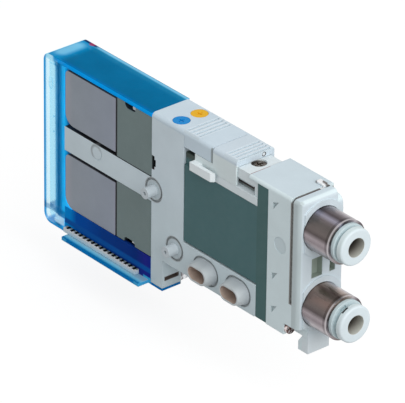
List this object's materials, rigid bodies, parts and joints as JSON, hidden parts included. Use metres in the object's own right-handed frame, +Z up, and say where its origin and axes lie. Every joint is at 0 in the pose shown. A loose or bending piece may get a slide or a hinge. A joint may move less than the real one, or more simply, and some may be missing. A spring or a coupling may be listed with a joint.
{
  "type": "solenoid valve manifold",
  "caption": "Slim plug-in solenoid valve manifold station with clear blue pilot cover, comb connector, air nozzles, rail foot and push-in tube fittings.",
  "frame": {"origin": "middle of the rail seat, the flat underside of the gallery bar, halfway across the station's body", "axes": "+X along the station towards the tube fittings, +Z up from the rail, -Y the side with the air nozzles and the comb connector"},
  "size_m": [0.0934, 0.014, 0.0405],
  "materials": {
    "blue_cover": "clear blue moulding, polished",
    "blue_base": "clear darker blue moulding",
    "carrier_plastic": "beige moulding",
    "contact_metal": "gold-plated blades",
    "board": "green board",
    "lamp": "red lamp body",
    "can_steel": "plated steel can, satin",
    "bobbin_plastic": "natural moulding",
    "copper_wire": "enamelled copper wire",
    "core_steel": "ground steel",
    "spring_steel": "drawn stainless",
    "pilot_plastic": "grey-green moulding",
    "white_plastic": "white moulding",
    "grey_plastic": "light grey moulding, fine texture",
    "light_plastic": "paler grey moulding, fine texture",
    "seal_rubber": "black seal rubber",
    "blue_button": "blue moulding",
    "orange_button": "orange moulding",
    "brown_screw": "dark plated steel",
    "green_plastic": "dark green moulding, fine texture",
    "spool_metal": "turned and ground",
    "piston_plastic": "dark moulding",
    "screw_steel": "bright plated steel",
    "clip_steel": "stamped stainless strip",
    "nickel_sleeve": "plated brass, satin, brownish",
    "button_plastic": "pale grey moulding"
  },
  "bodies": {
    "station": {"pilot_cover": "blue_cover", "connector_base": "blue_base", "contact_carrier": "carrier_plastic", "contact_pins": "contact_metal", "circuit_board": "board", "indicator_lamps": "lamp", "solenoid_can_a": "can_steel", "solenoid_can_b": "can_steel", "bobbin_a": "bobbin_plastic", "bobbin_b": "bobbin_plastic", "winding_a": "copper_wire", "winding_b": "copper_wire", "fixed_core_a": "core_steel", "fixed_core_b": "core_steel", "armature_spring_a": "spring_steel", "armature_spring_b": "spring_steel", "pilot_body_a": "pilot_plastic", "pilot_body_b": "pilot_plastic", "lead_clips": "white_plastic", "manifold_frame": "grey_plastic", "rail_leaf": "spring_steel", "nozzle_seals": "seal_rubber", "top_cover": "light_plastic", "override_spring_a": "spring_steel", "override_spring_b": "spring_steel", "lock_guide": "light_plastic", "guide_screw": "brown_screw", "base_gasket": "seal_rubber", "valve_body": "green_plastic", "port_block": "grey_plastic", "block_screws": "screw_steel", "retaining_clip": "clip_steel", "fitting_body_a": "nickel_sleeve", "fitting_body_b": "nickel_sleeve", "fitting_o_rings": "seal_rubber", "tube_seal_a": "seal_rubber", "tube_seal_b": "seal_rubber", "collet_a": "spring_steel", "collet_b": "spring_steel", "fitting_guide_a": "white_plastic", "fitting_guide_b": "white_plastic"},
    "override_a": {"override_button_a": "blue_button"},
    "override_b": {"override_button_b": "orange_button"},
    "slide": {"lock_slide": "light_plastic", "slide_pin": "screw_steel"},
    "spool_set": {"spool": "spool_metal", "piston_a": "piston_plastic", "piston_b": "piston_plastic"},
    "plunger_a": {"armature_a": "core_steel"},
    "plunger_b": {"armature_b": "core_steel"},
    "release_a": {"release_button_a": "button_plastic"},
    "release_b": {"release_button_b": "button_plastic"}
  },
  "joints": [
    {"name": "override_a_press", "type": "slide", "parent": "station", "child": "override_a", "axis": [0, 0, -1], "range_m": [0, 0.0012], "stiffness_N_per_m": 300, "springref_m": -0.002, "deforming": ["override_spring_a"]},
    {"name": "override_b_press", "type": "slide", "parent": "station", "child": "override_b", "axis": [0, 0, -1], "range_m": [0, 0.0012], "stiffness_N_per_m": 300, "springref_m": -0.002, "deforming": ["override_spring_b"]},
    {"name": "lock_slide_travel", "type": "slide", "parent": "station", "child": "slide", "axis": [1, 0, 0], "range_m": [0, 0.003]},
    {"name": "spool_shift", "type": "slide", "parent": "station", "child": "spool_set", "axis": [1, 0, 0], "range_m": [0, 0.0016]},
    {"name": "armature_a_pull", "type": "slide", "parent": "station", "child": "plunger_a", "axis": [-1, 0, 0], "range_m": [0, 0.0004], "stiffness_N_per_m": 300, "springref_m": -0.002, "deforming": ["armature_spring_a"]},
    {"name": "armature_b_pull", "type": "slide", "parent": "station", "child": "plunger_b", "axis": [-1, 0, 0], "range_m": [0, 0.0004], "stiffness_N_per_m": 300, "springref_m": -0.002, "deforming": ["armature_spring_b"]},
    {"name": "release_a_push", "type": "slide", "parent": "station", "child": "release_a", "axis": [-1, 0, 0], "range_m": [0, 0.0006], "stiffness_N_per_m": 200, "springref_m": -0.002},
    {"name": "release_b_push", "type": "slide", "parent": "station", "child": "release_b", "axis": [-1, 0, 0], "range_m": [0, 0.0011], "stiffness_N_per_m": 200, "springref_m": -0.002}
  ]
}
